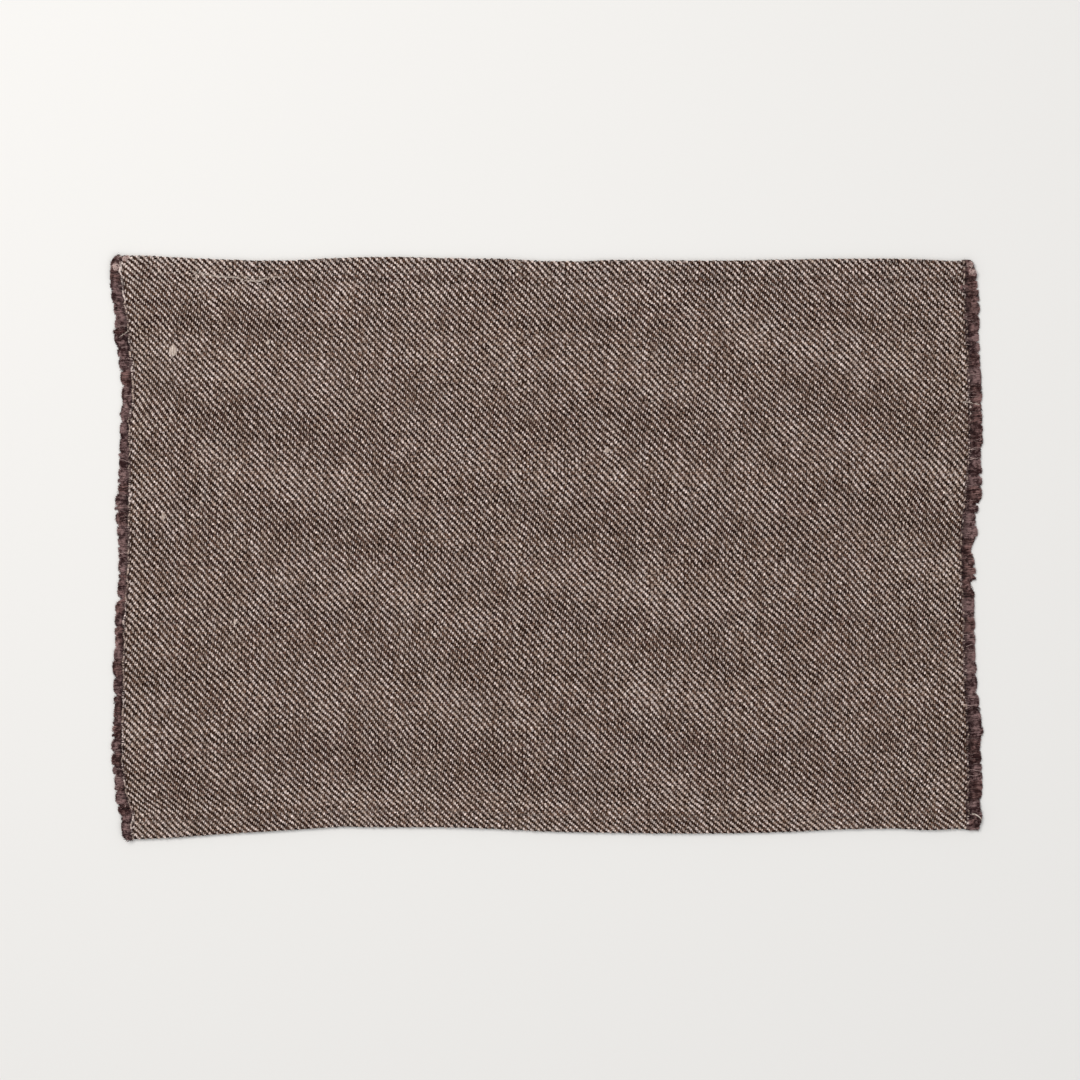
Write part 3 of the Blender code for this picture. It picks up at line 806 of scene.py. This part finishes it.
def cut_ends(side, picks, tips, random):
    """The cut ends of the picks along one end of the mat, as groups for strands."""
    uniform, normal = random.uniform, random.standard_normal
    out = -1 if side == "left" else 1
    base = place(0.0 if side == "left" else 1.0, picks, 0.0)
    sizes = random.integers(*CLUMP_SIZES, len(picks))
    clump = np.repeat(np.arange(len(picks)), sizes)[:len(picks)]
    members = np.bincount(clump)
    middle = np.bincount(clump, base[:, 1]) / members
    lows = [base[clump == one, 1].min() for one in range(len(members))]
    highs = [base[clump == one, 1].max() for one in range(len(members))]
    half = np.maximum((np.array(highs) - lows) / 2, LEAST_HALF)
    cling = uniform(*CLUMP_CLING, len(members))
    depth = uniform(*SCALLOP, len(members))
    kind = random.random(len(members))
    tone = uniform(*CLUMP_TONE, len(members))
    tone += np.interp(middle, *zip(*FRINGE_TONES[side]))
    reach = tip_reach(tips, base[:, 1])

    def members_of(each):
        """For each fibre its pick, its clump, how far off the clump's middle it is, and where
        the scalloped outline ends it."""
        owner = np.repeat(np.arange(len(picks)), each)
        which = clump[owner]
        off = (base[owner, 1] - middle[which]) / half[which]
        return owner, which, off, reach[owner] + depth[which] * (BULGE - np.abs(off) ** 3)

    def group(cut):
        """Strands that run from the woven edge to the fringe's outline."""
        owner, which, off, far = members_of(cut.each)
        count = len(owner)
        angle = 2 * math.pi * (np.arange(count) % cut.each + random.random(count)) / cut.each
        out_by = cut.ring * uniform(0.6, 1, count)
        start = base[owner] + np.stack(
            [np.full(count, -out * ROOT), out_by * np.cos(angle), out_by * np.sin(angle)], axis=1)
        far = far - cut.short * np.abs(normal(count))
        end_y = (start[:, 1] + cling[which] * (middle[which] - base[owner, 1])
                 + cut.stray * normal(count))
        end_z = base[owner, 2] * DROOP + 0.15 + 0.28 * normal(count)
        end = np.stack([out * far, end_y, np.clip(end_z, LOWEST + 0.1, HIGHEST)], axis=1)
        bow = (start + end) / 2 + cut.stray * normal((count, 3)) * (0.5, 1.3, 0.7)
        bow[:, 2] = np.maximum(bow[:, 2] + 0.25, LOWEST + 0.1)
        paths = bend(start, bow, end, cut.stations)
        t = np.linspace(0, 1, cut.stations)
        turns = uniform(0, 2 * math.pi, (count, 1)) + t * uniform(3, 7, (count, 1))
        paths[..., 1] += cut.wavy * np.sin(turns) * np.minimum(4 * t, 1)
        paths[..., 2] = np.maximum(paths[..., 2] + 0.5 * cut.wavy * np.cos(turns), LOWEST)
        radii = cut.radius * (1 - cut.taper * t**1.5) * uniform(0.75, 1.25, (count, 1))
        # painted shade between clumps: fibres darker towards a clump's sides
        tints = tone[which] - 0.12 * off**4 + 0.13 * normal(count)
        tints = np.clip(tints, 0, 0.9)
        tints[random.random(count) < cut.pale] = 1.0
        return paths, radii, kind[which], tints, cut.sides

    def pile():
        """Short fibres that stand out all along the cut ends."""
        owner, which, off, far = members_of(PILE)
        count = len(owner)
        root, far = base[owner, 0] - out * ROOT, out * far
        along = uniform(0.2, 1.0, count)
        rise = base[owner, 2] * (1 - (1 - DROOP) * along) + uniform(0.0, 0.45, count)
        start = np.stack([root + (far - root) * along,
                          base[owner, 1] + 0.45 * normal(count), rise], axis=1)
        turn = uniform(0, 2 * math.pi, count)
        long = uniform(*PILE_LENGTH, count)
        way = np.stack([0.8 * np.cos(turn) + 0.3 * out, 0.8 * np.sin(turn),
                        uniform(0, 0.6, count)], axis=1)
        end = start + way * long[:, None]
        end[:, 0] = out * np.minimum(out * end[:, 0], out * far + 0.2)
        bow = (start + end) / 2 + 0.25 * normal((count, 3))
        paths = bend(start, bow, end, 3)
        paths[..., 2] = np.maximum(paths[..., 2], LOWEST)
        radii = PILE_RADIUS * np.array([1.0, 0.9, 0.4]) * uniform(0.7, 1.3, (count, 1))
        tints = np.clip(tone[which] + 0.1 + 0.28 * normal(count), 0, 0.9)
        return paths, radii, kind[which], tints, 2

    def bed():
        """A flat bed that closes the gaps under the plies, darker than them as painted shade."""
        paths, radii, kinds, tints, sides = group(BED)
        paths[..., 2] = np.maximum(paths[..., 2] - BED_LOWER, LOWEST)
        paths[:, -1, 0] -= BED_SHORTER * out
        # painted shade: the bed's tints are darkened
        return paths, radii, 0 * kinds, BED_SHADE * tints, sides

    return [bed(), group(PLIES), group(FIBRES), pile()]


def make_fringes(weave):
    """Both fringes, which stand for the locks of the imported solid."""
    look = fringe_material()
    made = {}
    for number, (side, tips) in enumerate((("left", LEFT_TIPS), ("right", RIGHT_TIPS))):
        random = np.random.default_rng(WEAVE_SEED + 20 + number)
        groups = cut_ends(side, weave.picks, tips, random)
        groups += [tangle(one, random) for one in TANGLES if one.side == side]
        groups += felted(side, tips, random)
        made["fringe_" + side] = strands("cut_ends_" + side, groups, look)
    return made


Tangle = namedtuple("Tangle", "side x y size height tone")  # height over the cloth's middle
TANGLES = table(
    Tangle, ("left", -224.0, 150.2, 2.0, 0.8, 0.25), ("left", -220.1, 151.0, 1.5, 0.8, 1.00),
    ("left", -225.1, 146.7, 1.6, 0.8, 1.15), ("left", -220.7, -133.6, 1.9, 0.6, 0.75),
    ("left", -218.2, -151.6, 1.5, 0.6, 0.45), ("left", -218.6, -139.6, 2.0, 0.5, 0.40),
    ("right", 219.0, 136.9, 2.2, 0.6, 0.50), ("right", 223.9, -143.6, 2.6, 0.9, 0.15),
    ("right", 222.9, 144.1, 1.8, 0.9, 1.00), ("right", 221.4, 148.1, 1.4, 0.9, 0.92),
    ("right", 224.6, 131.0, 1.6, 0.6, 0.45),
)
CURL_RADIUS = 0.16


def curl(count, t, sweep, size, nearest, swing, random):
    """Angles and distances of fibres that curl round a place, and their radii."""
    turn = random.uniform(0, 2 * math.pi, (count, 1)) + t * random.uniform(*sweep, (count, 1))
    far = size * random.uniform(nearest, 1, (count, 1)) * (1 + swing[0] * np.sin(swing[1] * t + turn))
    return turn, far, np.full(turn.shape, CURL_RADIUS) * (1 - 0.5 * np.abs(2 * t - 1) ** 3)


def tangle(one, random):
    """Fibres curled round a place in the fringe."""
    count = int(28 * one.size)
    t = np.linspace(0, 1, 7)[None, :]
    turn, far, radii = curl(count, t, (1.5, 3.4), one.size, 0.1, (0.25, 5), random)
    middle = 0.3 * one.size * random.standard_normal((2, count, 1))
    rise = np.sqrt(np.clip(1.02 - (far / one.size) ** 2, 0, 1)) * random.uniform(0.1, 1, (count, 1))
    x = one.x + 0.8 * middle[0] + far * np.cos(turn)
    y = one.y + middle[1] + 0.85 * far * np.sin(turn)
    z = top(one.x, one.y) + one.height * rise + 0.1 * np.sin(7 * t + turn)
    tints = np.clip(one.tone + 0.12 * random.standard_normal(count), 0, 1)
    return np.stack([x, y, z], axis=-1), radii, random.random(count), tints, 4


FELTED = 52  # small swirls of felted fibres along each fringe
FELTED_SIZE = (0.8, 2.1)
FELTED_SPAN = (-149, 147)  # from the near corner to the far one


def felted(side, tips, random):
    """Small swirls scattered over a fringe, as groups for strands."""
    found = []
    for y in random.uniform(*FELTED_SPAN, FELTED):
        inner = OUTLINE.middle[side] + OUTLINE.bay(side, y)
        outer = math.copysign(tip_reach(tips, y), inner)
        size = random.uniform(*FELTED_SIZE)
        x = inner + (outer - inner) * random.uniform(0.05, 0.8)
        height = 0.55 + max(0.0, top(x, y) - THICKNESS / 2) * 0.6
        found.append(swirl(x, y, size, height, random.uniform(0.1, 0.9), random))
    return found


def swirl(x, y, size, height, tone, random):
    """Flat fibres that curl round a place."""
    count = int(12 * size)
    t = np.linspace(0, 1, 5)[None, :]
    turn, far, radii = curl(count, t, (1.0, 2.6), size, 0.3, (0.2, 4), random)
    arch = random.uniform(0, 0.4, (count, 1)) * np.sin(math.pi * t)
    paths = np.stack([
        x + 1.1 * far * np.cos(turn), y + 0.8 * far * np.sin(turn),
        height + 0.55 * (1 - (far / size / 1.2) ** 2) + arch,
    ], axis=-1)
    tints = np.clip(tone + 0.15 * random.standard_normal(count), 0, 0.9)
    return paths, radii, random.random(count), tints, 2


Slub = namedtuple("Slub", "x y long wide tall")
SLUBS = table(
    Slub, (-195.2, 103.2, 6.2, 4.2, 0.65), (31.7, 50.9, 3.4, 2.4, 0.45), (-200.5, 16.4, 4.2, 1.6, 0.40),
    (-162.9, -39.0, 2.8, 1.3, 0.30), (-145.6, 107.4, 2.8, 1.3, 0.30),
)
SLUB_FIBRES = 20  # for each mm of a slub's width
SLUB_RADIUS = 0.19


def slub(one, random):
    """A thick place in a warp end, where unspun fibres bulge out of the cloth."""
    count = int(SLUB_FIBRES * one.wide)
    t = np.linspace(-1, 1, 7)[None, :]
    across = random.uniform(-1, 1, (count, 1))
    swell = np.sqrt(1 - t**2) * (0.94 - 0.33 * t)
    x = one.x + one.wide / 2 * across * swell + 0.12 * np.sin(4 * t + 20 * across)
    y = one.y + one.long / 2 * t * random.uniform(0.8, 1.05, (count, 1))
    bulge = one.tall * swell * np.sqrt(1 - across**2) * random.uniform(0.6, 1, (count, 1))
    z = top(x, y) + 0.15 + bulge
    radii = np.full((count, 7), SLUB_RADIUS) * (1 - 0.6 * np.abs(t) ** 3)
    tints = np.clip(0.40 + 0.27 * random.standard_normal(count), 0, 1)
    return np.stack([x, y, z], axis=-1), radii, random.random(count), tints, 4


Strand = namedtuple("Strand", "width points")
LOOSE_STRANDS = table(
    Strand,
    # by the far hem
    (0.17, ((-186.0, 144.3), (-182.7, 143.6), (-175.5, 142.2), (-168.1, 141.0), (-162.3, 141.3),
            (-158.7, 139.7), (-152.4, 139.0), (-146.6, 140.5), (-141.4, 141.3), (-135.1, 141.8))),
    (0.18, ((-184.0, 143.3), (-183.0, 141.5), (-182.6, 139.7), (-183.1, 137.6))),
    (0.15, ((-160.0, 142.0), (-156.2, 141.2), (-153.0, 138.6), (-149.5, 138.9), (-147.0, 141.0))),
    # in the field
    (0.15, ((210.0, 65.0), (211.7, 65.8), (213.2, 67.6), (214.6, 69.6))),
    # across the fringes
    (0.17, ((-217.8, 114.0), (-219.4, 112.6), (-221.6, 110.9), (-224.0, 109.8))),
    (0.15, ((217.6, 75.9), (220.0, 76.2), (223.2, 75.2), (227.0, 74.6))),
    (0.30, ((219.6, -140.8), (221.4, -139.7), (223.4, -139.3), (225.8, -140.3), (227.6, -142.4))),
)


def smooth_path(points, stations):
    """Points evenly along a smooth curve through the given ones."""
    points = np.array(points, float)
    for _ in range(3):
        a, b = points[:-1], points[1:]
        points = np.concatenate([points[:1], np.stack(
            [0.75 * a + 0.25 * b, 0.25 * a + 0.75 * b], axis=1).reshape(-1, points.shape[1]),
            points[-1:]])
    far = np.concatenate([[0], np.cumsum(np.linalg.norm(np.diff(points, axis=0), axis=1))])
    at = np.linspace(0, far[-1], stations)
    return np.stack([np.interp(at, far, column) for column in points.T], axis=1)


STRAND_FIBRES = 5
OVER_CLOTH = 217  # a strand further out than this lies on the fringe


def loose_strand(one, random):
    """A pale strand lying on the cloth, with fibres that have come away from it."""
    length = np.linalg.norm(np.diff(one.points, axis=0), axis=1).sum()
    stations = max(8, int(length / 0.7))
    core = smooth_path(one.points, stations)
    count = STRAND_FIBRES
    t = np.linspace(0, 1, stations)
    wander = ripple(np.broadcast_to(t * length, (count, stations)), 4.0, random)
    beside = ripple(np.broadcast_to(t * length, (count, stations)), 3.0, random)
    sizes = np.linspace(0.12, 0.7, count)[:, None]
    x = core[:, 0] + 0.6 * sizes * beside
    y = core[:, 1] + sizes * wander
    inner = np.abs(x) < OVER_CLOTH
    z = np.where(inner, top(x, y) + 0.30, top(x, y) * 0.75 + 0.55) + 0.3 * wander
    radii = np.linspace(one.width, 0.05, count)[:, None] * (1 - 0.7 * np.abs(2 * t - 1) ** 4)
    tints = random.uniform(0.3, 0.9, count)
    return np.stack([x, y, z], axis=-1), radii, random.random(count), tints, 4


STITCH = 3.2  # length of one hem stitch
STITCH_MARGIN = 2.5  # from a woven edge to the first stitch
SEWING_RADIUS = 0.12


def make_stitches():
    """The sewing thread of each hem: a row of stitches sunk in the upper face, and one below."""
    look = strand_material("sewing_thread", SEWING_DARK, SEWING_LIGHT)
    groups = []
    x = np.arange(-LENGTH / 2 + STITCH_MARGIN, LENGTH / 2 - STITCH_MARGIN, STITCH / 4)
    hole = np.cos(math.pi * (x - x[0]) / STITCH) ** 8
    for near in (True, False):
        y = OUTLINE.near(x) + SEAM if near else OUTLINE.far(x) - SEAM
        faces = ((1, HEM_RISE + THICKNESS / 2 + 0.44, 0.75), (-1, THICKNESS / 2 - 0.44, 0.45))
        for up, height, depth in faces:
            z = np.maximum(height - up * depth * hole, SEWING_RADIUS)
            paths = np.stack([x, y + 0.1 * np.sin(x / 9), z], axis=-1)[None]
            radii = np.full(paths.shape[:2], SEWING_RADIUS)
            groups.append((paths, radii, np.array([0.5]), np.array([0.5]), 5))
    return strands("hem_stitches", groups, look)


HAIRS = 4200  # fibres that stand out of the cloth
HAIR_LENGTH = (1.2, 4.5)
HAIR_RADIUS = 0.022
PALE_HAIRS = 0.7  # share of the hairs


def make_fuzz(random):
    """Fine hairs that have worked out of the yarns, on the upper face."""
    edge = FIELD_HALF + FOLD_START
    share = random.uniform(0.004, 0.996, HAIRS)
    run = random.uniform(-edge, edge, HAIRS)
    turn = random.uniform(0, 2 * math.pi, HAIRS)
    curl = random.normal(0, 0.8, HAIRS)
    length = random.uniform(*HAIR_LENGTH, HAIRS)
    t = np.linspace(0, 1, 5)[None, :]
    ahead = turn[:, None] + curl[:, None] * t
    step = length[:, None] * t
    along = (share[:, None] * LENGTH + step * np.cos(ahead)) / LENGTH
    over = run[:, None] + step * np.sin(ahead)
    lift = 0.3 + random.uniform(0.25, 0.75, (HAIRS, 1)) * np.sin(math.pi * t**0.8) + 0.25 * t
    paths = place(np.clip(along, 0, 1), np.clip(over, -edge, edge), lift)
    radii = np.full((HAIRS, 5), HAIR_RADIUS) * (1 - 0.6 * t)
    tints = np.where(random.random(HAIRS) < PALE_HAIRS, random.uniform(0.6, 1, HAIRS), 0.1)
    look = strand_material("stray_hair", WEFT_LIGHT, WARP_LIGHT)
    return strands("surface_hairs", [(paths, radii, random.random(HAIRS), tints, 2)], look)


def make_loose(random):
    """Slubs and loose pale strands."""
    look = strand_material("loose_beige_fibre", WARP_DARK, WARP_PALE)
    lumps = strands("slubs", [slub(one, random) for one in SLUBS], look)
    threads = [loose_strand(one, random) for one in LOOSE_STRANDS]
    return [lumps, strands("loose_strands", threads, look)]


# ---------------------------------------------------------------- stage

PIXEL = 0.523  # mm of the mat for one pixel of the photograph
PICTURE_PIXELS = 1080
PICTURE = PICTURE_PIXELS * PIXEL
PICTURE_MIDDLE = (-3.35, 3.88)  # where the middle of the photograph lies on the mat
LENS, SENSOR = 100.0, 36.0
FLOOR_HALF, FLOOR_HEIGHT = 4000.0, -0.05  # the floor lies just under the table plane
FLOOR_COLOUR = (0.78, 0.775, 0.765, 1)
WORLD_COLOUR, WORLD_STRENGTH = (1, 0.99, 0.98, 1), 0.55
Light = namedtuple("Light", "name place size power colour")  # in metres and watts
LIGHTS = (
    Light("key", (-0.9, 0.9, 1.7), 1.0, 26, (1, 0.98, 0.95)),
    Light("fill", (1.1, -0.8, 1.6), 1.6, 8, (0.96, 0.98, 1)),
)


def area_light(one):
    """A round lamp that points at the middle of the mat."""
    light = bpy.data.lights.new(one.name, "AREA")
    light.shape = "DISK"
    light.size = one.size
    light.energy = one.power
    light.color = one.colour
    lamp = bpy.data.objects.new(one.name, light)
    lamp.location = one.place
    lamp.rotation_euler = (-Vector(one.place)).to_track_quat("-Z", "Y").to_euler()
    bpy.context.scene.collection.objects.link(lamp)


def make_stage():
    """Floor, soft light and the camera straight above, as in the photograph."""
    scene = bpy.context.scene
    scene.view_settings.view_transform = "Standard"
    corners = np.array([(-1, -1, 0), (1, -1, 0), (1, 1, 0), (-1, 1, 0)]) * FLOOR_HALF
    floor = bpy.data.objects.new("floor", new_mesh("floor", corners, np.array([[0, 1, 2, 3]])))
    floor.location.z = FLOOR_HEIGHT * MM
    scene.collection.objects.link(floor)
    paper = Nodes("pale_floor", roughness=0.9, sheen=0.0)
    floor.data.materials.append(paper.done(FLOOR_COLOUR))
    world = bpy.data.worlds.new("studio")
    world.use_nodes = True
    background = world.node_tree.nodes["Background"]
    background.inputs["Color"].default_value = WORLD_COLOUR
    background.inputs["Strength"].default_value = WORLD_STRENGTH
    scene.world = world
    for one in LIGHTS:
        area_light(one)
    camera = bpy.data.cameras.new("camera")
    camera.lens = LENS
    camera.sensor_width = SENSOR
    seen = bpy.data.objects.new("camera", camera)
    height = PICTURE * LENS / SENSOR + THICKNESS
    seen.location = [value * MM for value in (*PICTURE_MIDDLE, height)]
    scene.collection.objects.link(seen)
    scene.camera = seen


def main():
    """The stage, the pieces in the order of their random draws, and what each one replaces."""
    make_stage()
    weave = Weave()
    inside = make_inside()
    yarns = make_yarns(weave)
    fringes = make_fringes(weave)
    stitches = make_stitches()
    loose = make_loose(np.random.default_rng(WEAVE_SEED + 1))
    hairs = make_fuzz(np.random.default_rng(WEAVE_SEED + 2))
    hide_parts("cloth")
    for node, piece in fringes.items():
        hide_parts(node)


main()
